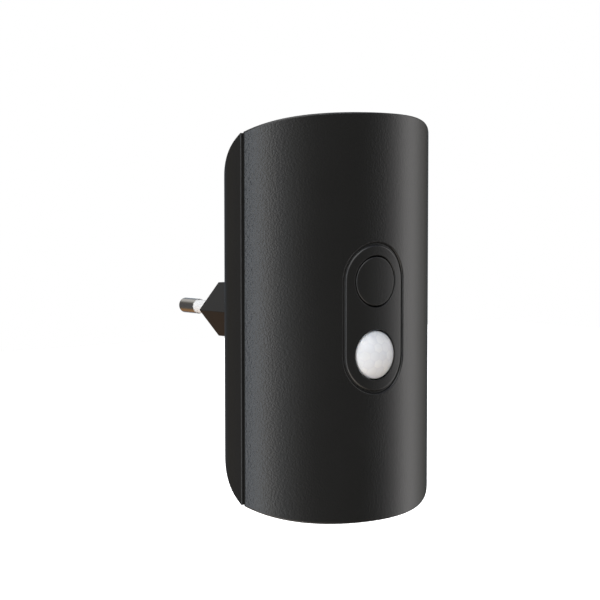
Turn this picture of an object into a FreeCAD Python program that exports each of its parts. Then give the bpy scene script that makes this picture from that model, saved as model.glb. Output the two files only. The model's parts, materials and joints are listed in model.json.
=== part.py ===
import FreeCAD, Part
import math
import os

# Plug-in ultrasonic pest repeller, in millimetres. +Z is up, the bowed front
# faces -Y and the mains plug points along +Y. The pieces are drawn with y
# counted back from the front line of the case; save() then moves them so that
# the origin is the centre of the plug's contact face, midway between the pins.

V = FreeCAD.Vector
ALONG_X = V(1, 0, 0)
ALONG_Y = V(0, 1, 0)
ALONG_Z = V(0, 0, 1)

# Case
HEIGHT = 100.0                    # at the middle of the front
HALF_WIDTH = 30.0
FRONT_R = 38.0                    # bow of the front, about an upright axis
SIDE_R = 36.0                     # curve of top and bottom seen from the side
SIDE_CENTRE_Y = -4.0              # centre of that curve, ahead of the front line
CORNER_R = 15.0                   # upright rear corners
WALL = 2.0
SEAM_GAP = 0.25
LIP_DEPTH = 2.5                   # how far the rear cover's lip reaches into the front
LIP_WALL = 1.0
EDGE_ROUND = 0.4
RIM_CHAMFER = 0.12
FIT = 0.05                        # play between pieces that are set into each other
BEYOND = 60.0                     # reach of cutters that pass right through a piece

CASE_DEPTH = SIDE_CENTRE_Y + SIDE_R
SIDE_CENTRE_Z = HEIGHT / 2 - math.sqrt(SIDE_R ** 2 - SIDE_CENTRE_Y ** 2)
SEAM_Y = FRONT_R - math.sqrt(FRONT_R ** 2 - HALF_WIDTH ** 2)

# Plug: flat two-pin body with a hexagonal section and 4 mm pins
BOSS_LENGTH = 18.7
BOSS_HALF_POINT = 17.65           # half width over the two points
BOSS_HALF_FLAT = 11.5             # half width of the upper and lower flats
BOSS_HALF_HEIGHT = 7.05
BOSS_ROUND = 0.2
FLANGE_GROW = 2.2
FLANGE_DEPTH = 3.0
BOSS_START_Y = CASE_DEPTH - WALL - FLANGE_DEPTH - 1
PIN_SPACING = 19.0
PIN_R = 2.0
PIN_CORE_R = 1.5
SLEEVE_R = 1.8
PIN_LENGTH = 19.0
PIN_TIP = 7.2                     # bare metal end
PIN_TIP_ROUND = 0.7
SLEEVE_BURIED = 5.0
PIN_INNER_Y = 22.5                # inner end of the pins
COLLAR_R = 2.6
COLLAR_LENGTH = 1.5
STRAP_THICK = 0.5
STRAP_HALF_HEIGHT = 1.5
STRAP_X = (8.0, 14.5)
STRAP_END_Y = 16.8
PLUG_FACE_Y = CASE_DEPTH + BOSS_LENGTH
PIN_X = (("left", -PIN_SPACING / 2), ("right", PIN_SPACING / 2))

# Control panel in the bowed front: a raised pill inside a shallow groove
PANEL_HALF_WIDTH = 9.35           # out to the edge of the groove's floor
PANEL_HALF_HEIGHT = 18.4
PANEL_THICK = 3.4
PANEL_GROOVE = 0.45               # width of the groove's floor
PANEL_GROOVE_DEPTH = 0.45
PANEL_ROUND = 0.55
PANEL_RIM_ROUND = 0.35            # rounded rim of the opening in the front shell
PANEL_FLANGE = 1.5
PANEL_HOLE_ROUND = 0.15
BUTTON_Z = 9.0
BUTTON_R = 6.0
BUTTON_GAP = 0.35
BUTTON_ROUND = 0.25
BUTTON_FLANGE_R = 6.8
BUTTON_FLANGE_Y = (4.7, 5.4)
BUTTON_NUB_R = 1.5
BUTTON_HOLLOW_R = 4.8
BUTTON_FACE_THICK = 2.4
LENS_Z = -9.0
LENS_R = 5.85
LENS_GAP = 0.35
LENS_BASE_Y = 0.45                # rim of the dome, level with the panel at its sides
LENS_RISE = 2.95                  # height of the dome above its rim
LENS_WALL = 0.8
LENS_TOP_WALL = 0.9
LENS_FLANGE_R = 6.8
LENS_FLANGE_Y = (4.7, 5.4)
RETAINER_THICK = 0.8
RETAINER_HOLE_R = 5.2

# Sensor board behind the panel
SENSOR_BOARD_Y = (10.5, 11.7)
SENSOR_BOARD_HALF = (8.8, 19.2)
SENSOR_POST_Z = (17.3, 0.6, -17.3)
SENSOR_POST_R = 1.4
SENSOR_POST_HOLE_R = 0.75
SENSOR_POST_HOLE_Y = 5.5
SENSOR_SCREW = {"head_r": 1.5, "head_height": 1.0, "shank_r": 0.7, "length": 5.0}
SWITCH_HALF = 3.0
SWITCH_TOP_Y = 7.0
SWITCH_PLATE = 0.3
SWITCH_LEG_X = 3.4
SWITCH_LEG_Z = 2.2
SWITCH_LEG_Y = (9.0, 12.4)
SWITCH_LEG_THICK = 0.3
SWITCH_LEG_HALF = 0.3
PLUNGER_R = 1.7
PLUNGER_Y = (6.0, 8.8)
PIR_R = 4.6
PIR_CAN_R = 4.1
PIR_WALL = 0.3
PIR_TOP_Y = 6.3
PIR_BASE_THICK = 0.8
PIR_RIM_THICK = 0.4
PIR_WINDOW_HALF = (1.6, 2.0)
PIR_WINDOW_BORDER = 0.6
PIR_LEAD_CIRCLE = 2.5
PIR_LEAD_R = 0.25
PIR_LEAD_Y = (8.8, 12.6)
LED_X = (5.2, 6.8)
LED_HALF_HEIGHT = 0.8
LED_TOP_Y = 9.7

# Main board
BOARD_Y = (18.0, 19.6)
BOARD_HALF_WIDTH = 23.0
BOARD_Z = (-30.0, 37.0)
BOARD_CORNER = 2.0
BOARD_SCREW = {"head_r": 2.2, "head_height": 1.4, "shank_r": 0.95, "length": 7.0}
BOARD_SCREW_HOLE_R = (1.2, 1.0)   # through the board, and in the stand-off
BOARD_SCREW_END_Y = 26.8
STANDOFF_Z = (24.0, -24.0)
STANDOFF_R = 2.6
LEAD_R = 0.3
LEAD_HOLE_R = 0.5
LEAD_END_Y = BOARD_Y[1] + 1.0
SEAT_Y = BOARD_Y[0] - 0.1         # foot of the parts that stand on the board
HEADER_Z = 4.5
HEADER_PITCH = 2.54
HEADER_HALF = (5.0, 1.2)
HEADER_TOP_Y = 15.4
HEADER_PIN_R = 0.32
HEADER_PIN_Y = (9.6, 20.8)
HEADER_HOLE_R = 0.45
FILM_X = (-21.8, -11.2)
FILM_Z = (4.5, 20.0)
FILM_TOP_Y = 10.6
STORAGE_CAN = {"x": 16.0, "z": 13.0, "radius": 4.0, "height": 9.0}
FILTER_CAN = {"x": 19.6, "z": 4.5, "radius": 2.5, "height": 6.5}
BRIDGE_X = (-17.5, -12.5)
BRIDGE_Z = (-10.0, -4.0)
BRIDGE_TOP_Y = 15.4
VARISTOR_X = (-20.4, -17.2)
VARISTOR_Z = -16.0
VARISTOR_R = 4.2
FUSE_X = -9.0
FUSE_Y = BOARD_Y[0] - 2.0
FUSE_Z = (-8.0, 0.0)
FUSE_R = 1.4
FUSE_CAP_R = 1.7
FUSE_CAP_LENGTH = 1.6
FUSE_LEAD_REACH = 1.2
TRANSFORMER_X = (10.6, 21.6)
TRANSFORMER_Y = (10.8, 15.6)
TRANSFORMER_Z = (-20.0, -9.0)
CORE_LEG = 2.0
CENTRE_LEG_HALF = 1.6
BOBBIN_WALL = 0.5
BOBBIN_FLANGE = 1.8
BOBBIN_FLANGE_THICK = 0.6
WINDING_OUT = 1.5
TRANSFORMER_PIN_HALF = (2.6, 3.15)
CHIP_Z = -9.0
CHIP_HALF = (1.95, 4.3)
CHIP_Y = (16.2, 17.8)
CHIP_PINS = 7
CHIP_PITCH = 1.27
CHIP_PIN_Y = (16.95, 17.15)
CHIP_PIN_X = (2.35, 2.55, 3.0)    # drop from, drop to, tip of the foot
CHIP_PIN_HALF = 0.2
TRANSISTOR_X = (-7.5, 7.5)
TRANSISTOR_Z = -20.0
TRANSISTOR_R = 2.3
TRANSISTOR_Y = (12.9, 17.4)
TRANSISTOR_FLAT_Z = -18.5
TRANSISTOR_LEG_R = 0.25

# Four housing screws, driven in from the back
COLUMNS = [(x, z) for x in (-16.0, 16.0) for z in (-27.0, 27.0)]
COLUMN_R = 4.2
POST_R = 3.2
COLUMN_START_Y = 15.3
POST_END_Y = 15.2
POST_HOLE_Y = 8.0
SCREW_SEAT_Y = 22.0
SCREW_R = 1.4
HOUSING_SCREW = {"head_r": 2.8, "head_height": 2.0, "shank_r": SCREW_R, "length": 13.0}
COUNTERBORE_R = 3.2
RECESS_SHARE = 0.6                # cross recess: depth and arm against the head
RECESS_THIN = 0.14

# Ultrasonic transducer, facing down behind the slots in the underside
TRANSDUCER_Y = 8.4
TRANSDUCER_R = 6.2
TRANSDUCER_Z = (-41.8, -33.8)
TRANSDUCER_WALL = 0.5
TRANSDUCER_FACE = 0.4
TRANSDUCER_BARS = 4
TRANSDUCER_BAR_PITCH = 2.2
TRANSDUCER_SLIT_HALF = 0.7
TRANSDUCER_MOUTH_R = 4.8
CONE_Z = -40.6
CONE_HEIGHT = 1.8
CONE_R = (4.4, 1.2)
CONE_WALL = 0.3
DISC_R = 4.5
DISC_Z = (-38.8, -38.2)
DISC_POST_R = 1.6
BASE_Z = -35.6
TERMINAL_X = (-2.5, 2.5)
TERMINAL_R = 0.4
TERMINAL_Z = (-36.6, -32.4)
WIRE_R = 0.5
WIRE_BEND = 2.5
WIRE_TOP_Z = -27.5
CRADLE_WALL = 1.2
CRADLE_TOP_Z = -37.0
CRADLE_GAP_HALF = 8.0             # break in the rear cover's lip beside the cradle
DUCT_R = 4.6
SLOT_WIDTH = 1.2
SLOT_PITCH = 2.0
SLOT_COUNT = 5


# ---------------------------------------------------------------- basic forms

def box(x0, x1, y0, y1, z0, z1):
    return Part.makeBox(x1 - x0, y1 - y0, z1 - z0, V(x0, y0, z0))


def rod_x(y, z, radius, x0, x1):
    return Part.makeCylinder(radius, x1 - x0, V(x0, y, z), ALONG_X)


def rod_y(x, z, radius, y0, y1):
    return Part.makeCylinder(radius, y1 - y0, V(x, y0, z), ALONG_Y)


def rod_z(x, y, radius, z0, z1):
    return Part.makeCylinder(radius, z1 - z0, V(x, y, z0), ALONG_Z)


def fused(shapes):
    """One solid from pieces that overlap or touch."""
    whole = shapes[0].fuse(shapes[1:]) if len(shapes) > 1 else shapes[0]
    return whole.removeSplitter()


def rounded(shape, radius, chosen):
    """Fillet the edges that chosen(edge) accepts."""
    return shape.makeFillet(radius, [edge for edge in shape.Edges if chosen(edge)])


def edge_points(edge):
    return edge.discretize(5)


def at_depth(edge, y):
    """True if the whole edge lies in the plane at depth y."""
    return all(abs(point.y - y) < 1e-3 for point in edge_points(edge))


def along_y(edge):
    points = edge_points(edge)
    return abs(points[0].y - points[-1].y) > 1


def ahead_of(edge, y):
    return all(point.y < y for point in edge_points(edge))


def bent_wire(start, corner, end, bend, radius):
    """Round wire from start to end with a square corner, rounded to the radius bend."""
    inward = (corner - start).normalize()
    outward = (end - corner).normalize()
    before = corner - inward * bend
    after = corner + outward * bend
    middle = corner + (outward - inward) * bend * (1 - math.sqrt(0.5))
    path = Part.Wire([
        Part.LineSegment(start, before).toShape(),
        Part.Arc(before, middle, after).toShape(),
        Part.LineSegment(after, end).toShape(),
    ])
    section = Part.Wire(Part.makeCircle(radius, start, inward))
    return path.makePipeShell([section], True, False)


def screw(x, z, seat_y, way, head_r, head_height, shank_r, length):
    """Pan-head screw along Y; way is +1 when its tip points to +Y."""
    face_y = seat_y - way * head_height
    head = rod_y(x, z, head_r, *sorted((seat_y, face_y)))
    shank = rod_y(x, z, shank_r, *sorted((seat_y, seat_y + way * length)))
    recess_y = sorted((face_y, face_y + way * head_height * RECESS_SHARE))
    arm = head_r * RECESS_SHARE
    thin = head_r * RECESS_THIN
    cross = box(x - arm, x + arm, *recess_y, z - thin, z + thin)
    cross = cross.fuse(box(x - thin, x + thin, *recess_y, z - arm, z + arm))
    return fused([head, shank]).cut(cross)


# ------------------------------------------------------------------ case form

def plan_section(inset):
    """Horizontal outline of the case, moved in by inset, as a face at z = 0."""
    half = HALF_WIDTH - inset
    bow = FRONT_R - inset
    corner = CORNER_R - inset
    back = CASE_DEPTH - inset
    shoulder = FRONT_R - math.sqrt(bow ** 2 - half ** 2)
    bend = back - corner
    arc = corner * (1 - math.sqrt(0.5))
    edges = [
        Part.Arc(V(-half, shoulder, 0), V(0, inset, 0), V(half, shoulder, 0)),
        Part.LineSegment(V(half, shoulder, 0), V(half, bend, 0)),
        Part.Arc(V(half, bend, 0), V(half - arc, back - arc, 0), V(half - corner, back, 0)),
        Part.LineSegment(V(half - corner, back, 0), V(corner - half, back, 0)),
        Part.Arc(V(corner - half, back, 0), V(arc - half, back - arc, 0), V(-half, bend, 0)),
        Part.LineSegment(V(-half, bend, 0), V(-half, shoulder, 0)),
    ]
    return Part.Face(Part.Wire([edge.toShape() for edge in edges]))


def side_point(inset, angle):
    """Point of the upper side curve; angle is counted from straight up towards the back."""
    radius = SIDE_R - inset
    return V(0, SIDE_CENTRE_Y + radius * math.sin(angle), SIDE_CENTRE_Z + radius * math.cos(angle))


def side_section(inset):
    """Side outline of the case, moved in by inset, as a face at x = 0."""
    ahead = math.asin((-1.0 - SIDE_CENTRE_Y) / (SIDE_R - inset))
    level = math.pi / 2
    top = [side_point(inset, angle) for angle in (ahead, (ahead + level) / 2, level)]
    low = [V(0, point.y, -point.z) for point in top]
    edges = [
        Part.Arc(*top),
        Part.LineSegment(top[2], low[2]),
        Part.Arc(low[2], low[1], low[0]),
        Part.LineSegment(low[0], top[0]),
    ]
    return Part.Face(Part.Wire([edge.toShape() for edge in edges]))


def envelope(inset):
    """The case's form with every face moved in by inset."""
    upright = plan_section(inset).extrude(V(0, 0, 2 * HEIGHT))
    upright.translate(V(0, 0, -HEIGHT))
    across = side_section(inset).extrude(V(4 * HALF_WIDTH, 0, 0))
    across.translate(V(-2 * HALF_WIDTH, 0, 0))
    return upright.common(across)


def slab(y0, y1):
    """Everything in the case between two depths."""
    return box(-2 * HALF_WIDTH, 2 * HALF_WIDTH, y0, y1, -HEIGHT, HEIGHT)


def bowed(inner, outer, prism):
    """The part of a prism that lies between two radii about the bow's axis."""
    ring = rod_z(0, FRONT_R, outer, -HEIGHT, HEIGHT).cut(rod_z(0, FRONT_R, inner, -HEIGHT, HEIGHT))
    return prism.common(ring)


def on_bow(edge, radius):
    """True if the edge lies on the upright cylinder of this radius about the bow's axis."""
    return all(abs(math.hypot(p.x, p.y - FRONT_R) - radius) < 1e-3 for p in edge_points(edge))


def pill(half_width, half_height, y0, y1):
    """Prism along Y with straight sides and round ends."""
    z = half_height - half_width
    edges = [
        Part.LineSegment(V(-half_width, y0, -z), V(-half_width, y0, z)),
        Part.Arc(V(-half_width, y0, z), V(0, y0, half_height), V(half_width, y0, z)),
        Part.LineSegment(V(half_width, y0, z), V(half_width, y0, -z)),
        Part.Arc(V(half_width, y0, -z), V(0, y0, -half_height), V(-half_width, y0, -z)),
    ]
    face = Part.Face(Part.Wire([edge.toShape() for edge in edges]))
    return face.extrude(V(0, y1 - y0, 0))


def sound_slots():
    """Cutters for the slots in the underside, each as long as the duct is there."""
    cutters = []
    for index in range(SLOT_COUNT):
        x = (index - (SLOT_COUNT - 1) / 2) * SLOT_PITCH
        reach = math.sqrt(DUCT_R ** 2 - x ** 2) - SLOT_WIDTH / 2
        y0 = TRANSDUCER_Y - reach
        y1 = TRANSDUCER_Y + reach
        cutters.append(box(x - SLOT_WIDTH / 2, x + SLOT_WIDTH / 2, y0, y1, -HEIGHT, TRANSDUCER_Z[0]))
        for y in (y0, y1):
            cutters.append(rod_z(x, y, SLOT_WIDTH / 2, -HEIGHT, TRANSDUCER_Z[0]))
    return fused(cutters)


# ---------------------------------------------------------------------- shells

def front_shell():
    outer = envelope(0).common(slab(-BEYOND, SEAM_Y))
    outer = rounded(outer, EDGE_ROUND, lambda e: on_bow(e, FRONT_R) and not near_panel(e))
    shell = outer.cut(envelope(WALL))
    posts = [rod_y(x, z, POST_R, 0, POST_END_Y) for x, z in COLUMNS]
    inside = envelope(WALL / 2)
    shell = fused([shell] + [piece.common(inside) for piece in posts + [transducer_cradle()]])
    for x, z in COLUMNS:
        shell = shell.cut(rod_y(x, z, SCREW_R + FIT, POST_HOLE_Y, POST_END_Y))
    opening = pill(PANEL_HALF_WIDTH + FIT, PANEL_HALF_HEIGHT + FIT, -BEYOND, POST_END_Y)
    shell = shell.cut(opening).cut(sound_slots())
    return rounded(shell, PANEL_RIM_ROUND, lambda e: on_bow(e, FRONT_R) and near_panel(e))


def near_panel(edge):
    """True for edges of the panel's opening, which the case's own edges are well away from."""
    return all(abs(p.z) < PANEL_HALF_HEIGHT + 2 and abs(p.x) < PANEL_HALF_WIDTH + 2
               for p in edge_points(edge))


def transducer_cradle():
    """Upright collar on the shell's floor that holds the transducer."""
    outer = turned_z(TRANSDUCER_R + FIT + CRADLE_WALL, -HEIGHT, CRADLE_TOP_Z)
    collar = outer.cut(turned_z(TRANSDUCER_R + 2 * FIT, -HEIGHT, 0))
    return collar.common(slab(0, SEAM_Y - LIP_DEPTH - SEAM_GAP))


def cover_lip():
    """Ring that slips into the front shell, and its root on the rear cover's wall."""
    root_start = SEAM_Y + SEAM_GAP + LIP_WALL / 2
    root_end = root_start + WALL
    ring = envelope(WALL + FIT).common(slab(SEAM_Y - LIP_DEPTH, root_end))
    root = envelope(WALL / 2).common(slab(root_start, root_end))
    lip = fused([ring, root]).cut(envelope(WALL + FIT + LIP_WALL))
    return lip.cut(box(-CRADLE_GAP_HALF, CRADLE_GAP_HALF, 0, SEAM_Y, -HEIGHT, 0))


def rear_cover():
    front = SEAM_Y + SEAM_GAP
    outer = envelope(0).common(slab(front, CASE_DEPTH + 1))
    rim = [edge for edge in outer.Edges if at_depth(edge, front)]
    shell = outer.makeChamfer(RIM_CHAMFER, rim).cut(envelope(WALL))
    inside = envelope(WALL / 2)
    columns = [rod_y(x, z, COLUMN_R, COLUMN_START_Y, CASE_DEPTH) for x, z in COLUMNS]
    standoffs = [rod_y(0, z, STANDOFF_R, BOARD_Y[1], CASE_DEPTH) for z in STANDOFF_Z]
    cover = fused([shell, cover_lip()] + [piece.common(inside) for piece in columns + standoffs])
    for x, z in COLUMNS:
        cover = cover.cut(rod_y(x, z, SCREW_R + 4 * FIT, COLUMN_START_Y, CASE_DEPTH))
        cover = cover.cut(rod_y(x, z, COUNTERBORE_R, SCREW_SEAT_Y, CASE_DEPTH + 1))
    for z in STANDOFF_Z:
        cover = cover.cut(rod_y(0, z, BOARD_SCREW_HOLE_R[1], BOARD_Y[1], BOARD_SCREW_END_Y))
    return cover.cut(hexagon(FIT, CASE_DEPTH - 2 * WALL, CASE_DEPTH + 1))


def housing_screws():
    return [screw(x, z, SCREW_SEAT_Y, -1, **HOUSING_SCREW) for x, z in COLUMNS]


# ------------------------------------------------------------------------ plug

def hexagon(grow, y0, y1):
    """Prism along Y with the plug body's hexagonal section, grown all round."""
    slope = math.atan2(BOSS_HALF_HEIGHT, BOSS_HALF_POINT - BOSS_HALF_FLAT)
    point = BOSS_HALF_POINT + grow / math.sin(slope)
    flat = BOSS_HALF_FLAT + grow * math.tan(slope / 2)
    height = BOSS_HALF_HEIGHT + grow
    corners = [(point, 0), (flat, height), (-flat, height), (-point, 0), (-flat, -height), (flat, -height)]
    outline = Part.makePolygon([V(x, y0, z) for x, z in corners + corners[:1]])
    return Part.Face(outline).extrude(V(0, y1 - y0, 0))


def plug_insert():
    body = rounded(hexagon(0, BOSS_START_Y, PLUG_FACE_Y), BOSS_ROUND, lambda e: at_depth(e, PLUG_FACE_Y))
    flange = hexagon(FLANGE_GROW, BOSS_START_Y + 1, CASE_DEPTH)
    body = fused([body, flange.common(envelope(WALL + FIT))])
    for _, x in PIN_X:
        body = body.cut(rod_y(x, 0, PIN_CORE_R, 0, PLUG_FACE_Y))
        body = body.cut(rod_y(x, 0, SLEEVE_R, PLUG_FACE_Y - SLEEVE_BURIED, PLUG_FACE_Y))
    return body


def plug_pin(x):
    """Solid pin: a thin core through body and sleeve, and a full-width bare end."""
    end = PLUG_FACE_Y + PIN_LENGTH
    tip = rounded(rod_y(x, 0, PIN_R, end - PIN_TIP, end), PIN_TIP_ROUND, lambda e: at_depth(e, end))
    core = rod_y(x, 0, PIN_CORE_R, PIN_INNER_Y, end - PIN_TIP)
    collar = rod_y(x, 0, COLLAR_R, BOSS_START_Y - COLLAR_LENGTH, BOSS_START_Y)
    return fused([core, tip, collar])


def pin_sleeve(x):
    start = PLUG_FACE_Y - SLEEVE_BURIED
    end = PLUG_FACE_Y + PIN_LENGTH - PIN_TIP
    return rod_y(x, 0, SLEEVE_R, start, end).cut(rod_y(x, 0, PIN_CORE_R, start, end))


def mains_strap(x):
    """Bent metal strip from the inner end of a pin through a slot in the main board."""
    side = math.copysign(1, x)
    inner, outer = STRAP_X
    reach = sorted((side * inner, side * outer))
    leg = sorted((side * (outer - STRAP_THICK), side * outer))
    height = (-STRAP_HALF_HEIGHT, STRAP_HALF_HEIGHT)
    pad = box(*reach, PIN_INNER_Y - STRAP_THICK, PIN_INNER_Y, *height)
    return fused([pad, box(*leg, STRAP_END_Y, PIN_INNER_Y, *height)])


# --------------------------------------------------------------- control panel

def control_panel():
    """Bowed plate: a raised pill, a groove floor round it, a flange behind and three posts."""
    inner = FRONT_R - PANEL_THICK
    raised = pill(PANEL_HALF_WIDTH - PANEL_GROOVE, PANEL_HALF_HEIGHT - PANEL_GROOVE, -BEYOND, BEYOND)
    raised = rounded(bowed(inner, FRONT_R, raised), PANEL_ROUND, lambda e: on_bow(e, FRONT_R))
    floor = pill(PANEL_HALF_WIDTH, PANEL_HALF_HEIGHT, -BEYOND, BEYOND)
    floor = bowed(inner, FRONT_R - PANEL_GROOVE_DEPTH, floor)
    flange = pill(PANEL_HALF_WIDTH + PANEL_FLANGE, PANEL_HALF_HEIGHT + PANEL_FLANGE, -BEYOND, BEYOND)
    flange = bowed(inner, FRONT_R - WALL - FIT, flange)
    posts = [rod_y(0, z, SENSOR_POST_R, PANEL_THICK - 1, SENSOR_BOARD_Y[0]) for z in SENSOR_POST_Z]
    plate = fused([raised, floor, flange] + posts)
    for z in SENSOR_POST_Z:
        plate = plate.cut(rod_y(0, z, SENSOR_POST_HOLE_R, SENSOR_POST_HOLE_Y, SENSOR_BOARD_Y[0]))
    plate = plate.cut(rod_y(0, BUTTON_Z, BUTTON_R + BUTTON_GAP, -BEYOND, BEYOND))
    plate = plate.cut(rod_y(0, LENS_Z, LENS_R + LENS_GAP, -BEYOND, BEYOND))
    return rounded(plate, PANEL_HOLE_ROUND, is_hole_rim)


def is_hole_rim(edge):
    """True for the front rims of the two round holes in the panel."""
    return on_bow(edge, FRONT_R) and max(abs(p.x) for p in edge_points(edge)) < BUTTON_R + 1


def button_cap():
    """Cap flush with the bowed front, with a retaining flange and a nub behind it."""
    back_y = BUTTON_FLANGE_Y[1]
    cap = bowed(0, FRONT_R, rod_y(0, BUTTON_Z, BUTTON_R, -BEYOND, back_y))
    cap = rounded(cap, BUTTON_ROUND, lambda e: on_bow(e, FRONT_R))
    flange = rod_y(0, BUTTON_Z, BUTTON_FLANGE_R, *BUTTON_FLANGE_Y)
    nub = rod_y(0, BUTTON_Z, BUTTON_NUB_R, back_y, PLUNGER_Y[0] - FIT)
    hollow = rod_y(0, BUTTON_Z, BUTTON_HOLLOW_R, BUTTON_FACE_THICK, BUTTON_FLANGE_Y[0])
    hollow = hollow.cut(rod_y(0, BUTTON_Z, BUTTON_NUB_R, 0, BEYOND))
    return fused([cap, flange, nub]).cut(hollow)


def dome(radius, rise, base_y):
    """Spherical cap that bulges to -Y from a circle at base_y."""
    ball_r = (radius ** 2 + rise ** 2) / (2 * rise)
    ball = Part.makeSphere(ball_r, V(0, base_y - rise + ball_r, LENS_Z))
    return ball.common(rod_y(0, LENS_Z, radius, base_y - rise - 1, base_y))


def pir_lens():
    """Milky dome with a collar through the panel and a flange behind it."""
    collar = rod_y(0, LENS_Z, LENS_R, LENS_BASE_Y, LENS_FLANGE_Y[0])
    flange = rod_y(0, LENS_Z, LENS_FLANGE_R, *LENS_FLANGE_Y)
    inner_r = LENS_R - LENS_WALL
    inner_base = LENS_BASE_Y + LENS_WALL / 2
    inner_rise = LENS_RISE + LENS_WALL / 2 - LENS_TOP_WALL
    hollow = fused([dome(inner_r, inner_rise, inner_base),
                    rod_y(0, LENS_Z, inner_r, inner_base, LENS_FLANGE_Y[1])])
    return fused([dome(LENS_R, LENS_RISE, LENS_BASE_Y), collar, flange]).cut(hollow)


def lens_retainer():
    """Ring that holds the lens flange against the panel."""
    start = LENS_FLANGE_Y[1]
    end = start + RETAINER_THICK
    return rod_y(0, LENS_Z, LENS_FLANGE_R, start, end).cut(rod_y(0, LENS_Z, RETAINER_HOLE_R, start, end))


# ---------------------------------------------------------------- sensor board

def sensor_board():
    half_x, half_z = SENSOR_BOARD_HALF
    board = pill(half_x, half_z, *SENSOR_BOARD_Y)
    leads = switch_leg_places() + pir_lead_places()
    holes = [rod_y(0, z, SENSOR_POST_HOLE_R + 0.15, *SENSOR_BOARD_Y) for z in SENSOR_POST_Z]
    holes += [rod_y(x, z, LEAD_HOLE_R, *SENSOR_BOARD_Y) for x, z in leads]
    holes += [rod_y(x, HEADER_Z, HEADER_HOLE_R, *SENSOR_BOARD_Y) for x in header_places()]
    return board.cut(holes)


def sensor_board_screws():
    return [screw(0, z, SENSOR_BOARD_Y[1], -1, **SENSOR_SCREW) for z in SENSOR_POST_Z]


def switch_leg_places():
    return [(x, BUTTON_Z + z) for x in (-SWITCH_LEG_X, SWITCH_LEG_X) for z in (-SWITCH_LEG_Z, SWITCH_LEG_Z)]


def switch_square(y0, y1):
    return box(-SWITCH_HALF, SWITCH_HALF, y0, y1, BUTTON_Z - SWITCH_HALF, BUTTON_Z + SWITCH_HALF)


def switch_body():
    top = SWITCH_TOP_Y + SWITCH_PLATE
    back = SENSOR_BOARD_Y[0]
    return switch_square(top, back).cut(rod_y(0, BUTTON_Z, PLUNGER_R + FIT, top, back - 1))


def switch_cover():
    """Metal plate on top of the switch, with a round hole for its plunger."""
    plate = switch_square(SWITCH_TOP_Y, SWITCH_TOP_Y + SWITCH_PLATE)
    return plate.cut(rod_y(0, BUTTON_Z, PLUNGER_R + FIT, 0, BEYOND))


def switch_plunger():
    return rod_y(0, BUTTON_Z, PLUNGER_R, *PLUNGER_Y)


def switch_legs():
    """Four flat legs, out of the switch's sides and back through the board."""
    legs = []
    start, end = SWITCH_LEG_Y
    for x, z in switch_leg_places():
        outer_x = x + math.copysign(SWITCH_LEG_THICK / 2, x)
        reach = sorted((math.copysign(SWITCH_HALF, x), outer_x))
        drop = sorted((x - math.copysign(SWITCH_LEG_THICK / 2, x), outer_x))
        height = (z - SWITCH_LEG_HALF, z + SWITCH_LEG_HALF)
        strip = box(*reach, start, start + SWITCH_LEG_THICK, *height)
        legs.append(fused([strip, box(*drop, start, end, *height)]))
    return legs


def pir_lead_places():
    angles = [math.radians(degrees) for degrees in (90, 210, 330)]
    return [(PIR_LEAD_CIRCLE * math.cos(angle), LENS_Z + PIR_LEAD_CIRCLE * math.sin(angle))
            for angle in angles]


def pir_can():
    """Metal cap of the motion sensor, with a rim at its foot and a hole for its window."""
    foot = SENSOR_BOARD_Y[0] - PIR_BASE_THICK
    can = rod_y(0, LENS_Z, PIR_CAN_R, PIR_TOP_Y, foot)
    can = rounded(can, PIR_WALL + 0.1, lambda e: at_depth(e, PIR_TOP_Y))
    rim = rod_y(0, LENS_Z, PIR_R, foot - PIR_RIM_THICK, foot)
    can = fused([can, rim]).cut(rod_y(0, LENS_Z, PIR_CAN_R - PIR_WALL, PIR_TOP_Y + PIR_WALL, foot))
    half_x, half_z = PIR_WINDOW_HALF
    return can.cut(box(-half_x, half_x, 0, PIR_TOP_Y + 1, LENS_Z - half_z, LENS_Z + half_z))


def pir_window():
    """Filter that fills the can's opening and sits against it from behind."""
    inside_y = PIR_TOP_Y + PIR_WALL
    half_x, half_z = PIR_WINDOW_HALF
    top = box(-half_x, half_x, PIR_TOP_Y + FIT, inside_y, LENS_Z - half_z, LENS_Z + half_z)
    wide = half_x + PIR_WINDOW_BORDER
    high = half_z + PIR_WINDOW_BORDER
    return fused([top, box(-wide, wide, inside_y, inside_y + PIR_WALL, LENS_Z - high, LENS_Z + high)])


def pir_base():
    base = rod_y(0, LENS_Z, PIR_R - 0.1, SENSOR_BOARD_Y[0] - PIR_BASE_THICK, SENSOR_BOARD_Y[0])
    return base.cut([rod_y(x, z, PIR_LEAD_R, 0, BEYOND) for x, z in pir_lead_places()])


def pir_leads():
    return [rod_y(x, z, PIR_LEAD_R, *PIR_LEAD_Y) for x, z in pir_lead_places()]


def status_led():
    """Small chip lamp beside the motion sensor, under the milky lens."""
    body = box(*LED_X, LED_TOP_Y, SENSOR_BOARD_Y[0], LENS_Z - LED_HALF_HEIGHT, LENS_Z + LED_HALF_HEIGHT)
    return rounded(body, 0.2, lambda e: at_depth(e, LED_TOP_Y))


# ------------------------------------------------------------------ main board

def header_places():
    return [(index - 1.5) * HEADER_PITCH for index in range(4)]


def board_header():
    """Plastic strip that keeps the two boards' link pins in line."""
    half_x, half_z = HEADER_HALF
    strip = box(-half_x, half_x, HEADER_TOP_Y, BOARD_Y[0], HEADER_Z - half_z, HEADER_Z + half_z)
    return strip.cut([rod_y(x, HEADER_Z, HEADER_PIN_R, 0, BEYOND) for x in header_places()])


def header_pins():
    return [rod_y(x, HEADER_Z, HEADER_PIN_R, *HEADER_PIN_Y) for x in header_places()]


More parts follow.
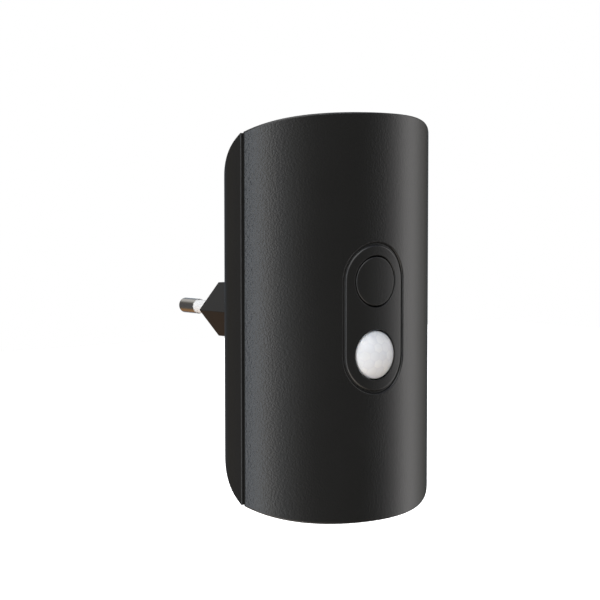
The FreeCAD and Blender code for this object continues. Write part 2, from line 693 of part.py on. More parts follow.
def main_board():
    board = box(-BOARD_HALF_WIDTH, BOARD_HALF_WIDTH, *BOARD_Y, *BOARD_Z)
    board = rounded(board, BOARD_CORNER, along_y)
    leads = transformer_pin_places() + part_lead_places()
    holes = [rod_y(x, z, COLUMN_R + 0.3, *BOARD_Y) for x, z in COLUMNS]
    holes += [rod_y(0, z, BOARD_SCREW_HOLE_R[0], *BOARD_Y) for z in STANDOFF_Z]
    holes += [rod_y(x, HEADER_Z, HEADER_HOLE_R, *BOARD_Y) for x in header_places()]
    holes += [rod_y(x, z, LEAD_HOLE_R, *BOARD_Y) for x, z in leads]
    for side in (-1, 1):
        slot = sorted((side * (STRAP_X[1] - STRAP_THICK - 0.1), side * (STRAP_X[1] + 0.1)))
        holes.append(box(*slot, *BOARD_Y, -STRAP_HALF_HEIGHT - 0.1, STRAP_HALF_HEIGHT + 0.1))
    return board.cut(holes)


def main_board_screws():
    return [screw(0, z, BOARD_Y[0], 1, **BOARD_SCREW) for z in STANDOFF_Z]


def film_capacitor():
    block = box(*FILM_X, FILM_TOP_Y, SEAT_Y, *FILM_Z)
    return rounded(block, 0.6, lambda e: along_y(e) or ahead_of(e, BOARD_Y[0] - 1))


def can_capacitor(x, z, radius, height):
    """Upright can with a rolled groove near its foot and a bevelled top."""
    can = rod_y(x, z, radius, SEAT_Y - height, SEAT_Y)
    can = can.makeChamfer(0.3, [edge for edge in can.Edges if ahead_of(edge, SEAT_Y - 1)])
    groove = Part.makeTorus(radius + 0.15, 0.4, V(x, SEAT_Y - 1.6, z), ALONG_Y)
    return can.cut(groove)


def storage_capacitor():
    return can_capacitor(**STORAGE_CAN)


def filter_capacitor():
    return can_capacitor(**FILTER_CAN)


def upright_pair(x, z, pitch):
    """Two lead places, one above the other."""
    return [(x, z + pitch / 2), (x, z - pitch / 2)]


def part_lead_places():
    """Lead holes of the two can capacitors, the film capacitor, the disc and the fuse."""
    return (upright_pair(STORAGE_CAN["x"], STORAGE_CAN["z"], 3.5)
            + upright_pair(FILTER_CAN["x"], FILTER_CAN["z"], 2.0)
            + upright_pair(sum(FILM_X) / 2, sum(FILM_Z) / 2, 11.5)
            + upright_pair(sum(VARISTOR_X) / 2, VARISTOR_Z, 5.0)
            + [(FUSE_X, z) for z in fuse_lead_heights()])


def component_leads():
    return [rod_y(x, z, LEAD_R, SEAT_Y, LEAD_END_Y) for x, z in part_lead_places()]


def bridge_rectifier():
    body = box(*BRIDGE_X, BRIDGE_TOP_Y, SEAT_Y, *BRIDGE_Z)
    return body.makeChamfer(0.4, [edge for edge in body.Edges if at_depth(edge, BRIDGE_TOP_Y)])


def varistor():
    """Coated disc standing on edge."""
    disc = rod_x(SEAT_Y - 0.1 - VARISTOR_R, VARISTOR_Z, VARISTOR_R, *VARISTOR_X)
    return rounded(disc, 1.0, lambda e: e.Curve.TypeId == "Part::GeomCircle")


def fuse_resistor():
    """Barrel with wider end caps, lying along the board."""
    low, high = FUSE_Z
    barrel = rod_z(FUSE_X, FUSE_Y, FUSE_R, low, high)
    caps = [rod_z(FUSE_X, FUSE_Y, FUSE_CAP_R, z, z + FUSE_CAP_LENGTH) for z in (low, high - FUSE_CAP_LENGTH)]
    return fused([barrel] + caps)


def fuse_lead_heights():
    low, high = FUSE_Z
    return high + FUSE_LEAD_REACH, low - FUSE_LEAD_REACH


def fuse_leads():
    """Wire ends bent down from the fuse into the board."""
    leads = []
    for z, hole_z in zip(reversed(FUSE_Z), fuse_lead_heights()):
        corner = V(FUSE_X, FUSE_Y, hole_z)
        leads.append(bent_wire(V(FUSE_X, FUSE_Y, z), corner, V(FUSE_X, SEAT_Y, hole_z), 0.6, LEAD_R))
    return leads


def transformer_centre():
    return sum(TRANSFORMER_X) / 2, sum(TRANSFORMER_Z) / 2


def core_window():
    """Lower and upper end of the space between the core's yokes."""
    return TRANSFORMER_Z[0] + CORE_LEG, TRANSFORMER_Z[1] - CORE_LEG


def transformer_core():
    """Ferrite frame with a middle leg along Z."""
    x, _ = transformer_centre()
    core = box(*TRANSFORMER_X, *TRANSFORMER_Y, *TRANSFORMER_Z)
    windows = [box(TRANSFORMER_X[0] + CORE_LEG, x - CENTRE_LEG_HALF, 0, BEYOND, *core_window()),
               box(x + CENTRE_LEG_HALF, TRANSFORMER_X[1] - CORE_LEG, 0, BEYOND, *core_window())]
    return core.cut(windows)


def around_leg(gap, out, z0, z1):
    """Rectangular tube around the middle leg, from gap to out away from it."""
    x, _ = transformer_centre()
    y0, y1 = TRANSFORMER_Y
    outer = box(x - CENTRE_LEG_HALF - out, x + CENTRE_LEG_HALF + out, y0 - out, y1 + out, z0, z1)
    inner = box(x - CENTRE_LEG_HALF - gap, x + CENTRE_LEG_HALF + gap, y0 - gap, y1 + gap, z0, z1)
    return outer.cut(inner)


def transformer_bobbin():
    low, high = core_window()
    z0, z1 = low + FIT, high - FIT
    thick = BOBBIN_FLANGE_THICK
    flanges = [around_leg(FIT, BOBBIN_FLANGE, z, z + thick) for z in (z0, z1 - thick)]
    return fused([around_leg(FIT, BOBBIN_WALL, z0, z1)] + flanges)


def transformer_winding():
    low, high = core_window()
    clear = BOBBIN_FLANGE_THICK + 2 * FIT
    return around_leg(BOBBIN_WALL + FIT, WINDING_OUT, low + clear, high - clear)


def transformer_pin_places():
    x, z = transformer_centre()
    half_x, half_z = TRANSFORMER_PIN_HALF
    return [(x + dx, z + dz) for dx in (-half_x, half_x) for dz in (-half_z, half_z)]


def transformer_pins():
    start = TRANSFORMER_Y[1] + BOBBIN_FLANGE
    return [rod_y(x, z, LEAD_R, start, LEAD_END_Y) for x, z in transformer_pin_places()]


def controller_chip():
    half_x, half_z = CHIP_HALF
    body = box(-half_x, half_x, *CHIP_Y, CHIP_Z - half_z, CHIP_Z + half_z)
    return body.makeChamfer(0.25, [edge for edge in body.Edges if at_depth(edge, CHIP_Y[0])])


def controller_pins():
    """Gull-wing pins along both sides of the chip."""
    pins = []
    drop_from, drop_to, tip = CHIP_PIN_X
    top, under = CHIP_PIN_Y
    for side in (-1, 1):
        for index in range(CHIP_PINS):
            z = CHIP_Z + (index - (CHIP_PINS - 1) / 2) * CHIP_PITCH
            height = (z - CHIP_PIN_HALF, z + CHIP_PIN_HALF)
            shoulder = box(*sorted((side * CHIP_HALF[0], side * drop_to)), top, under, *height)
            drop = box(*sorted((side * drop_from, side * drop_to)), top, BOARD_Y[0], *height)
            foot = box(*sorted((side * drop_from, side * tip)), CHIP_Y[1], BOARD_Y[0], *height)
            pins.append(fused([shoulder, drop, foot]))
    return pins


def drive_transistors():
    """Two moulded D-shaped packages."""
    bodies = []
    for x in TRANSISTOR_X:
        round_body = rod_y(x, TRANSISTOR_Z, TRANSISTOR_R, *TRANSISTOR_Y)
        bodies.append(round_body.cut(box(x - 3, x + 3, 0, BEYOND, TRANSISTOR_FLAT_Z, 0)))
    return bodies


def transistor_legs():
    return [rod_y(x + dx, TRANSISTOR_Z, TRANSISTOR_LEG_R, TRANSISTOR_Y[1], BOARD_Y[0])
            for x in TRANSISTOR_X for dx in (-CHIP_PITCH, 0, CHIP_PITCH)]


# ------------------------------------------------------------------ transducer

def turned_z(radius, z0, z1):
    """Upright rod about the transducer's axis."""
    return rod_z(0, TRANSDUCER_Y, radius, z0, z1)


def transducer_case():
    """Metal cup, open downwards, with a row of bars across its mouth."""
    low, high = TRANSDUCER_Z
    face = low + TRANSDUCER_FACE
    cup = turned_z(TRANSDUCER_R, low, high).cut(turned_z(TRANSDUCER_R - TRANSDUCER_WALL, face, high))
    for index in range(TRANSDUCER_BARS):
        x = (index - (TRANSDUCER_BARS - 1) / 2) * TRANSDUCER_BAR_PITCH
        reach = math.sqrt(TRANSDUCER_MOUTH_R ** 2 - x ** 2)
        cup = cup.cut(box(x - TRANSDUCER_SLIT_HALF, x + TRANSDUCER_SLIT_HALF,
                          TRANSDUCER_Y - reach, TRANSDUCER_Y + reach, low, face))
    return cup


def transducer_cone():
    wide, narrow = CONE_R
    centre = V(0, TRANSDUCER_Y, CONE_Z)
    cone = Part.makeCone(wide, narrow, CONE_HEIGHT, centre, ALONG_Z)
    return cone.cut(Part.makeCone(wide - CONE_WALL, narrow - CONE_WALL, CONE_HEIGHT - 0.2, centre, ALONG_Z))


def transducer_disc():
    return turned_z(DISC_R, *DISC_Z)


def transducer_post():
    """Soft block that carries the disc on the base."""
    return turned_z(DISC_POST_R, DISC_Z[1], BASE_Z)


def transducer_base():
    base = turned_z(TRANSDUCER_R - TRANSDUCER_WALL, BASE_Z, TRANSDUCER_Z[1])
    return base.cut([rod_z(x, TRANSDUCER_Y, TERMINAL_R, -HEIGHT, 0) for x in TERMINAL_X])


def transducer_pins():
    return [rod_z(x, TRANSDUCER_Y, TERMINAL_R, *TERMINAL_Z) for x in TERMINAL_X]


def transducer_gasket():
    """Foam duct from the cup's mouth to the slotted underside."""
    ring = turned_z(TRANSDUCER_R - 0.2, -HEIGHT, TRANSDUCER_Z[0]).cut(turned_z(DUCT_R, -HEIGHT, 0))
    return ring.common(envelope(WALL + FIT)).common(slab(0, SEAM_Y - 2 * SEAM_GAP))


def transducer_leads():
    """Two insulated wires, up from the transducer and back to the main board."""
    leads = []
    for x in TERMINAL_X:
        start = V(x, TRANSDUCER_Y, TERMINAL_Z[1])
        corner = V(x, TRANSDUCER_Y, WIRE_TOP_Z)
        leads.append(bent_wire(start, corner, V(x, BOARD_Y[0], WIRE_TOP_Z), WIRE_BEND, WIRE_R))
    return leads


# ---------------------------------------------------------------------- output

SUBPARTS = {
    maker.__name__: maker for maker in (
        front_shell, rear_cover, housing_screws, plug_insert, control_panel, button_cap, pir_lens,
        lens_retainer, sensor_board, sensor_board_screws, switch_body, switch_cover, switch_plunger,
        switch_legs, pir_can, pir_window, pir_base, pir_leads, status_led, board_header, header_pins,
        main_board, main_board_screws, film_capacitor, storage_capacitor, filter_capacitor,
        component_leads, bridge_rectifier, varistor, fuse_resistor, fuse_leads, transformer_core,
        transformer_bobbin, transformer_winding, transformer_pins, controller_chip, controller_pins,
        drive_transistors, transistor_legs, transducer_case, transducer_cone, transducer_disc,
        transducer_post, transducer_base, transducer_pins, transducer_gasket, transducer_leads)
}
for side_name, side_x in PIN_X:
    SUBPARTS["plug_pin_" + side_name] = lambda x=side_x: plug_pin(x)
    SUBPARTS["pin_sleeve_" + side_name] = lambda x=side_x: pin_sleeve(x)
    SUBPARTS["mains_strap_" + side_name] = lambda x=side_x: mains_strap(x)


def save(name, made):
    """Write one sub-part, moved so that the plug's contact face is at y = 0."""
    solids = made if isinstance(made, list) else [made]
    shape = Part.makeCompound(solids) if len(solids) > 1 else solids[0]
    shape = shape.copy()
    shape.translate(V(0, -PLUG_FACE_Y, 0))
    shape.exportStep("parts/" + name + ".step")
    size = shape.BoundBox
    print("%-22s solids %d valid %s volume %9.1f  %6.2f x %6.2f x %6.2f" % (
        name, len(shape.Solids), shape.isValid(), shape.Volume, size.XLength, size.YLength, size.ZLength))


os.makedirs("parts", exist_ok=True)
for node, maker in SUBPARTS.items():
    save(node, maker())
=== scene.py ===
import json
import math

import bmesh
import bpy
from mathutils import Matrix, Vector


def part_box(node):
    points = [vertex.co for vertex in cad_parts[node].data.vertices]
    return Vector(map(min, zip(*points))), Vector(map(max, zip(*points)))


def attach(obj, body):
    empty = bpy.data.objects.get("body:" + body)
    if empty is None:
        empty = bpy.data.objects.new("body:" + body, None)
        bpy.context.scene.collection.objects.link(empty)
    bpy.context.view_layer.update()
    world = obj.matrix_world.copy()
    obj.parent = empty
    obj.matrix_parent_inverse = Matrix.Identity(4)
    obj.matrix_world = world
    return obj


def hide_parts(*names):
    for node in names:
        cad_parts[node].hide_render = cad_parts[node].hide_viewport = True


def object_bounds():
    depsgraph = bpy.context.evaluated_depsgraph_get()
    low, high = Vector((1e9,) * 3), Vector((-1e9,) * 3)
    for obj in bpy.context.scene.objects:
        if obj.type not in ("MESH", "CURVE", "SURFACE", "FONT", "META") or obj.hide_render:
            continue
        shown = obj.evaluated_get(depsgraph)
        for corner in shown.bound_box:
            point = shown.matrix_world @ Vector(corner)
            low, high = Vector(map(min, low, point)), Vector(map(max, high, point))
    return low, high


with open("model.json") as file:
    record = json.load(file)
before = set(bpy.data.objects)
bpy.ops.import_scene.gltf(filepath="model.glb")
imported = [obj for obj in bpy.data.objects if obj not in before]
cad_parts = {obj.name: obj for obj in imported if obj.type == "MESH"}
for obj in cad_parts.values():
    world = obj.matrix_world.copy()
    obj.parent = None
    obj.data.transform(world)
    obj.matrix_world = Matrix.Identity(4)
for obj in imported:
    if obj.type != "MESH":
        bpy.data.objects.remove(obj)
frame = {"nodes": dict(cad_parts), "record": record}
cad_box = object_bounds()

MM = 0.001

# Camera, set out from the middle of the front of the case
CAMERA_AZIMUTH = -37.953          # degrees, 0 looks along +Y
CAMERA_PITCH = 3.688              # degrees, looking down
CAMERA_ROLL = -0.019
CAMERA_DISTANCE = 404.8 * MM      # along the line of sight, from the front's middle
CAMERA_RIGHT = -18.707 * MM       # camera offset across and up the view
CAMERA_UP = 4.446 * MM
CAMERA_LENS = 99.6                # focal length and sensor width in millimetres
SENSOR_WIDTH = 36.0
CLIP_START = 0.01

# Studio
FLOOR_DROP = 0.60                 # floor below the lowest point of the case
FLOOR_SIZE = 12.0
FLOOR_GLOW = 0.9


# -------------------------------------------------------------- shader helpers

class Shader:
    """A node material: makes nodes, links them and keeps the surface shader at hand."""

    def __init__(self, name):
        self.material = bpy.data.materials.new(name)
        self.material.use_nodes = True
        self.tree = self.material.node_tree
        self.surface = self.tree.nodes["Principled BSDF"]
        self.place = self.node("ShaderNodeTexCoord").outputs["Object"]

    def node(self, kind, values=(), **settings):
        made = self.tree.nodes.new(kind)
        for key, value in settings.items():
            setattr(made, key, value)
        for socket, value in dict(values).items():
            self.feed(made.inputs[socket], value)
        return made

    def feed(self, socket, value):
        """Sets a socket to a value, or links it to an output."""
        if isinstance(value, bpy.types.NodeSocket):
            self.tree.links.new(value, socket)
        else:
            socket.default_value = value

    def set(self, **values):
        for name, value in values.items():
            self.feed(self.surface.inputs[name.replace("_", " ")], value)

    def noise(self, size, detail=2.0, stretch=(1, 1, 1)):
        """Noise between 0 and 1 with features about size metres across."""
        place = self.node("ShaderNodeVectorMath", {0: self.place, 1: stretch}, operation="MULTIPLY")
        made = self.node("ShaderNodeTexNoise", {"Vector": place.outputs[0], "Scale": 1 / size,
                                                "Detail": detail})
        return made.outputs["Fac"]

    def span(self, value, low, high, start=0.3, end=0.7):
        """Maps start..end of a value onto low..high."""
        made = self.node("ShaderNodeMapRange", {"Value": value, "From Min": start, "From Max": end,
                                                "To Min": low, "To Max": high})
        return made.outputs["Result"]

    def mix(self, factor, first, second):
        made = self.node("ShaderNodeMix", {"Factor": factor}, data_type="RGBA")
        self.feed(made.inputs[6], first)
        self.feed(made.inputs[7], second)
        return made.outputs[2]

    def soft_edges(self, radius):
        """Normal rounded over sharp edges, and a mask that is 1 along them, where a painted edge highlight
        goes.
        """
        bevel = self.node("ShaderNodeBevel", {"Radius": radius}, samples=4)
        face = self.node("ShaderNodeNewGeometry").outputs["Normal"]
        turn = self.node("ShaderNodeVectorMath", {0: bevel.outputs[0], 1: face}, operation="DOT_PRODUCT")
        return bevel.outputs[0], self.span(turn.outputs["Value"], 1.0, 0.0, 0.9, 0.999)

    def bump(self, height, depth, normal=None):
        made = self.node("ShaderNodeBump", {"Height": height, "Distance": depth, "Strength": 1.0})
        if normal is not None:
            self.feed(made.inputs["Normal"], normal)
        return made.outputs["Normal"]


def rgba(colour):
    return (*colour, 1.0)


def lighter(colour, factor):
    return rgba([min(1.0, part * factor) for part in colour])


MOULDED_EDGE = 0.15 * MM          # radius that edges seem rounded to
MOTTLE_SIZE = 14 * MM             # size and strength of the slow change in tone and sheen
MOTTLE_TONE = 0.08
MOTTLE_ROUGH = 0.015
METAL_EDGE = 0.1 * MM
MARK_SIZE = 0.25 * MM             # fine marks on metal
MARK_DEPTH = 0.0008 * MM


def moulded(name, colour, rough, grain=0.4 * MM, depth=0.0, edge_highlight=1.6):
    """Moulded plastic: fine grain, uneven sheen, and edges that are rounder and a little lighter in colour, a
    painted highlight.
    """
    shader = Shader(name)
    normal, rim = shader.soft_edges(MOULDED_EDGE)
    mottle = shader.noise(MOTTLE_SIZE, 1.0)
    tone = shader.mix(mottle, lighter(colour, 1 - MOTTLE_TONE), lighter(colour, 1 + MOTTLE_TONE))
    # Lighter colour along the edges: a painted highlight.
    shader.set(Base_Color=shader.mix(rim, tone, lighter(colour, edge_highlight)))
    shader.set(Roughness=shader.span(mottle, rough - MOTTLE_ROUGH, rough + MOTTLE_ROUGH, 0.0, 1.0))
    if depth:
        normal = shader.bump(shader.noise(grain, 2.0), depth, normal)
    shader.set(Normal=normal)
    return shader


def metal(name, colour, rough, brush=(1, 1, 1)):
    """Bare or plated metal, with fine marks that a brush can draw out along one direction, and edges a little
    lighter in colour, a painted highlight.
    """
    shader = Shader(name)
    normal, rim = shader.soft_edges(METAL_EDGE)
    marks = shader.noise(MARK_SIZE, 3.0, brush)
    tone = shader.mix(shader.span(marks, 0, 1), lighter(colour, 0.93), lighter(colour, 1.04))
    # Lighter colour along the edges: a painted highlight.
    shader.set(Base_Color=shader.mix(rim, tone, lighter(colour, 1.1)), Metallic=1.0)
    shader.set(Roughness=shader.span(marks, rough * 0.8, rough * 1.25))
    shader.set(Normal=shader.bump(marks, MARK_DEPTH, normal))
    return shader


# ------------------------------------------------------------------- materials

SATIN_BLACK = (0.0165, 0.0165, 0.016)


def make_materials():
    """One material for each slot of the record."""
    made = {
        "front_plastic": moulded("front_plastic", SATIN_BLACK, 0.2, 0.45 * MM, 0.06 * MM),
        "panel_plastic": moulded("panel_plastic", SATIN_BLACK, 0.25, 0.45 * MM, 0.02 * MM),
        "button_plastic": moulded("button_plastic", SATIN_BLACK, 0.25, 0.45 * MM, 0.03 * MM),
        "cover_plastic": moulded("cover_plastic", SATIN_BLACK, 0.36, 0.3 * MM, 0.002 * MM),
        "plug_plastic": moulded("plug_plastic", (0.008, 0.008, 0.008), 0.5, 0.3 * MM, 0.003 * MM),
        "retainer_plastic": moulded("retainer_plastic", (0.05, 0.05, 0.05), 0.5),
        "sleeve_plastic": moulded("sleeve_plastic", (0.97, 0.97, 0.97), 0.35, edge_highlight=1.0),
        "switch_plastic": moulded("switch_plastic", (0.03, 0.03, 0.03), 0.45),
        "plunger_plastic": moulded("plunger_plastic", (0.05, 0.05, 0.055), 0.4),
        "header_plastic": moulded("header_plastic", (0.03, 0.03, 0.03), 0.5),
        "film_box": moulded("film_box", (0.75, 0.5, 0.08), 0.3),
        "can_sleeve": moulded("can_sleeve", (0.03, 0.05, 0.12), 0.25),
        "chip_epoxy": moulded("chip_epoxy", (0.03, 0.03, 0.032), 0.55, 0.2 * MM, 0.01 * MM),
        "varistor_coat": moulded("varistor_coat", (0.05, 0.2, 0.55), 0.3, 0.8 * MM, 0.05 * MM),
        "fuse_coat": moulded("fuse_coat", (0.1, 0.32, 0.2), 0.5, 0.3 * MM, 0.03 * MM),
        "ferrite": moulded("ferrite", (0.07, 0.07, 0.075), 0.6, 0.2 * MM, 0.02 * MM),
        "bobbin_plastic": moulded("bobbin_plastic", (0.6, 0.56, 0.42), 0.45),
        "board_laminate": moulded("board_laminate", (0.03, 0.16, 0.06), 0.3, 0.6 * MM, 0.01 * MM),
        "soft_rubber": moulded("soft_rubber", (0.03, 0.03, 0.03), 0.85, 0.5 * MM, 0.05 * MM),
        "wire_red": moulded("wire_red", (0.5, 0.03, 0.03), 0.4),
        "led_epoxy": moulded("led_epoxy", (0.85, 0.83, 0.7), 0.25),
        "pin_metal": metal("pin_metal", (0.72, 0.71, 0.69), 0.16, (1, 0.2, 1)),
        "screw_steel": metal("screw_steel", (0.45, 0.45, 0.46), 0.35),
        "strap_brass": metal("strap_brass", (0.75, 0.58, 0.28), 0.3),
        "sheet_metal": metal("sheet_metal", (0.6, 0.6, 0.61), 0.3),
        "tinned_wire": metal("tinned_wire", (0.65, 0.65, 0.63), 0.3, (1, 0.1, 1)),
        "transducer_alloy": metal("transducer_alloy", (0.65, 0.65, 0.67), 0.35, (1, 1, 0.1)),
        "piezo_ceramic": metal("piezo_ceramic", (0.72, 0.63, 0.42), 0.4),
        "copper_winding": winding(),
        "sensor_window": window(),
        "lens_plastic": milky(),
    }
    return {slot: shader.material for slot, shader in made.items()}


def winding():
    """Enamelled copper wire: fine ridges across the coil's length, coloured darker in the grooves as painted
    shade and lighter on the crests as a painted highlight.
    """
    shader = Shader("copper_winding")
    ridges = shader.node("ShaderNodeTexWave", {"Vector": shader.place, "Scale": 1.2 / MM, "Distortion": 0.4},
                         bands_direction="Z", wave_profile="SIN")
    # Colour follows the ridges: painted shade in the grooves, painted highlight on the crests.
    tone = shader.mix(ridges.outputs["Fac"], (0.25, 0.07, 0.02, 1), (0.65, 0.26, 0.1, 1))
    shader.set(Base_Color=tone, Metallic=0.8, Roughness=0.35)
    shader.set(Normal=shader.bump(ridges.outputs["Fac"], 0.08 * MM))
    return shader


def window():
    """Dark infrared filter glass."""
    shader = Shader("sensor_window")
    haze = shader.noise(1.0 * MM)
    shader.set(Base_Color=shader.mix(haze, (0.02, 0.015, 0.03, 1), (0.05, 0.03, 0.05, 1)))
    shader.set(Roughness=shader.span(haze, 0.08, 0.16))
    return shader


def milky():
    """Milky lens plastic: light goes in and spreads, and the joints between facets are a little darker."""
    shader = Shader("lens_plastic")
    joint = shader.node("ShaderNodeAttribute", attribute_name="facet_joint").outputs["Fac"]
    facet = shader.node("ShaderNodeAttribute", attribute_name="facet_tone").outputs["Fac"]
    cloud = shader.noise(1.5 * MM, 2.0)
    body = shader.mix(facet, (0.86, 0.87, 0.92, 1), (0.94, 0.94, 0.96, 1))
    shader.set(Base_Color=shader.mix(joint, body, (0.84, 0.84, 0.89, 1)))
    shader.set(Roughness=shader.span(cloud, 0.28, 0.36))
    shader.set(Subsurface_Weight=1.0, Subsurface_Radius=(1.0, 0.95, 0.9), Subsurface_Scale=2.5 * MM)
    return shader


# ------------------------------------------------------------------------ lens

FACET_PITCH = 2.25 * MM
FACET_REACH = 0.58 * FACET_PITCH  # from a facet's centre to its corners
FACET_DEPTH = 0.06 * MM
JOINT_WIDTH = 0.16 * MM           # half width of the darker joint between two facets
RIM_FADE = 0.4 * MM               # the facets flatten out over this distance from the rim
FACET_TONES = 7                   # facets differ a little in how milky they look
LENS_RISE = 2.95 * MM             # height of the dome above its rim
LENS_PROUD = 2.5 * MM             # how far the dome stands out before the front of the case
LENS_RADIUS = 5.85 * MM
LENS_WALL = 0.8 * MM
LENS_TOP_WALL = 0.9 * MM
FLANGE_THICK = 0.7 * MM
LENS_RINGS = 60
INNER_RINGS = 12
LENS_SEGMENTS = 180
SHARP_ANGLE = 35                  # degrees, above which an edge is drawn sharp


def ball_radius(radius, rise):
    """Radius of the ball whose cap has this radius and rise."""
    return (radius ** 2 + rise ** 2) / (2 * rise)


def cap_depth(radius, ball_r):
    """How far a ball's surface falls back from its foremost point."""
    return ball_r - math.sqrt(ball_r ** 2 - radius ** 2)


def nearest_facet(x, z):
    """Distance from the centre of the hexagonal facet that holds (x, z), from its border, and its tone."""
    row = FACET_PITCH * math.sqrt(3) / 2
    best = []
    j0 = round(z / row)
    for j in (j0 - 1, j0, j0 + 1):
        shift = 0.5 * (j % 2)
        i0 = round(x / FACET_PITCH - shift)
        for i in (i0 - 1, i0, i0 + 1):
            tone = (5 * i + 3 * j) % FACET_TONES / (FACET_TONES - 1)
            best.append((math.hypot(x - (i + shift) * FACET_PITCH, z - j * row), tone))
    best.sort()
    return best[0][0], (best[1][0] - best[0][0]) / 2, best[0][1]


def dome_point(radius, angle, centre, front_y, ball_r):
    """Point of the faceted dome, how close it is to a joint between facets, and its facet's tone."""
    x, z = radius * math.cos(angle), radius * math.sin(angle)
    y = front_y + cap_depth(radius, ball_r)
    from_centre, from_border, tone = nearest_facet(x, z)
    swell = FACET_DEPTH * (1 - (from_centre / FACET_REACH) ** 2)
    fade = min(1.0, (LENS_RADIUS - radius) / RIM_FADE)
    outward = Vector((x, y - front_y - ball_r, z)).normalized()
    point = Vector((x, y, z)) - outward * (FACET_DEPTH - swell) * fade
    joint = max(0.0, 1 - from_border / JOINT_WIDTH) * fade
    return point + Vector((centre.x, 0, centre.z)), joint, tone


def lens_back(front_y, back_y, flange_r):
    """Outline of the lens from the dome's rim over collar and flange to the middle of the hollow."""
    flange_y = back_y - FLANGE_THICK
    inner_r = LENS_RADIUS - LENS_WALL
    inner_y = front_y + LENS_TOP_WALL
    inner_ball = ball_radius(inner_r, LENS_RISE + LENS_WALL / 2 - LENS_TOP_WALL)
    outline = [(LENS_RADIUS, flange_y), (flange_r, flange_y), (flange_r, back_y), (inner_r, back_y)]
    for step in range(INNER_RINGS, 0, -1):
        radius = inner_r * step / INNER_RINGS
        outline.append((radius, inner_y + cap_depth(radius, inner_ball)))
    return outline


def lens_piece(material):
    """The motion sensor's lens as one closed form: faceted dome, collar, flange and hollow inside."""
    low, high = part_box("pir_lens")
    centre = (low + high) / 2
    ball_r = ball_radius(LENS_RADIUS, LENS_RISE)
    mesh = bmesh.new()
    joint_layer = mesh.verts.layers.float.new("facet_joint")
    tone_layer = mesh.verts.layers.float.new("facet_tone")
    turns = [math.tau * turn / LENS_SEGMENTS for turn in range(LENS_SEGMENTS)]
    rings = []
    for step in range(1, LENS_RINGS + 1):
        ring = []
        for turn in turns:
            point, joint, tone = dome_point(LENS_RADIUS * step / LENS_RINGS, turn, centre, low.y, ball_r)
            vertex = mesh.verts.new(point)
            vertex[joint_layer] = joint
            vertex[tone_layer] = tone
            ring.append(vertex)
        rings.append(ring)
    for radius, y in lens_back(low.y, high.y, (high.x - low.x) / 2):
        places = [(centre.x + radius * math.cos(turn), y, centre.z + radius * math.sin(turn))
                  for turn in turns]
        rings.append([mesh.verts.new(place) for place in places])
    for first, second in zip(rings, rings[1:]):
        for turn in range(LENS_SEGMENTS):
            nxt = (turn + 1) % LENS_SEGMENTS
            mesh.faces.new((first[turn], first[nxt], second[nxt], second[turn]))
    tip_point, _, tip_tone = dome_point(0.0, 0.0, centre, low.y, ball_r)
    tip = mesh.verts.new(tip_point)
    tip[tone_layer] = tip_tone
    back = mesh.verts.new((centre.x, low.y + LENS_TOP_WALL, centre.z))
    for turn in range(LENS_SEGMENTS):
        nxt = (turn + 1) % LENS_SEGMENTS
        mesh.faces.new((tip, rings[0][nxt], rings[0][turn]))
        mesh.faces.new((back, rings[-1][turn], rings[-1][nxt]))
    bmesh.ops.recalc_face_normals(mesh, faces=mesh.faces)
    piece = add_mesh("lens_dome", mesh, material)
    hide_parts("pir_lens")
    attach(piece, "housing")


def add_mesh(name, mesh, material):
    """Puts a finished mesh into the scene, smooth but for its sharp edges."""
    data = bpy.data.meshes.new(name)
    mesh.to_mesh(data)
    mesh.free()
    for polygon in data.polygons:
        polygon.use_smooth = True
    data.set_sharp_from_angle(angle=math.radians(SHARP_ANGLE))
    data.materials.append(material)
    piece = bpy.data.objects.new(name, data)
    bpy.context.scene.collection.objects.link(piece)
    return piece


# ---------------------------------------------------------------------- studio

# Light around the object, as (azimuth, colour). Azimuth 0 is straight ahead of the front, 90 is towards +X.
LEVEL_LIGHT = [
    (-180, (0.05, 0.05, 0.05)), (-160, (0.12, 0.11, 0.09)), (-140, (0.09, 0.09, 0.10)),
    (-120, (0.00, 0.00, 0.00)), (-105, (0.00, 0.00, 0.00)), (-90, (1.05, 1.12, 1.22)),
    (-80, (0.25, 0.27, 0.30)), (-70, (0.10, 0.15, 0.25)), (-60, (3.15, 3.45, 3.80)),
    (-50, (2.03, 1.94, 1.81)), (-40, (0.63, 0.68, 0.75)), (-30, (0.40, 0.39, 0.37)),
    (-20, (0.07, 0.07, 0.08)), (-10, (0.00, 0.00, 0.00)), (30, (0.00, 0.00, 0.00)),
    (40, (0.15, 0.16, 0.16)), (50, (0.34, 0.33, 0.34)), (60, (0.74, 0.73, 0.73)),
    (70, (1.35, 1.33, 1.32)), (80, (1.57, 1.54, 1.53)), (90, (0.93, 0.91, 0.90)),
    (100, (0.37, 0.37, 0.36)), (110, (0.26, 0.25, 0.24)), (120, (0.05, 0.05, 0.04)),
    (140, (0.15, 0.20, 0.26)), (150, (0.20, 0.24, 0.30)), (180, (0.05, 0.05, 0.05)),
]
UPPER_LIGHT = [
    (-180, (0.70, 0.68, 0.66)), (-135, (0.50, 0.50, 0.50)), (-90, (1.50, 1.50, 1.45)),
    (-45, (3.00, 3.00, 3.00)), (0, (2.00, 2.03, 2.09)), (45, (0.11, 0.13, 0.26)),
    (90, (0.00, 0.00, 0.00)), (135, (0.60, 0.60, 0.58)), (180, (0.70, 0.68, 0.66)),
]
LOWER_LIGHT = [
    (-180, (0.38, 0.20, 0.08)), (-135, (0.38, 0.20, 0.08)), (-90, (1.65, 1.50, 1.35)),
    (-45, (2.50, 2.30, 2.10)), (0, (1.15, 1.00, 0.85)), (45, (0.00, 0.00, 0.00)),
    (135, (0.20, 0.11, 0.05)), (180, (0.38, 0.20, 0.08)),
]
BAND_START = 0.35                 # height on the unit sphere where the level band begins to fade
BAND_END = 0.65                   # and where only the upper or lower band is left


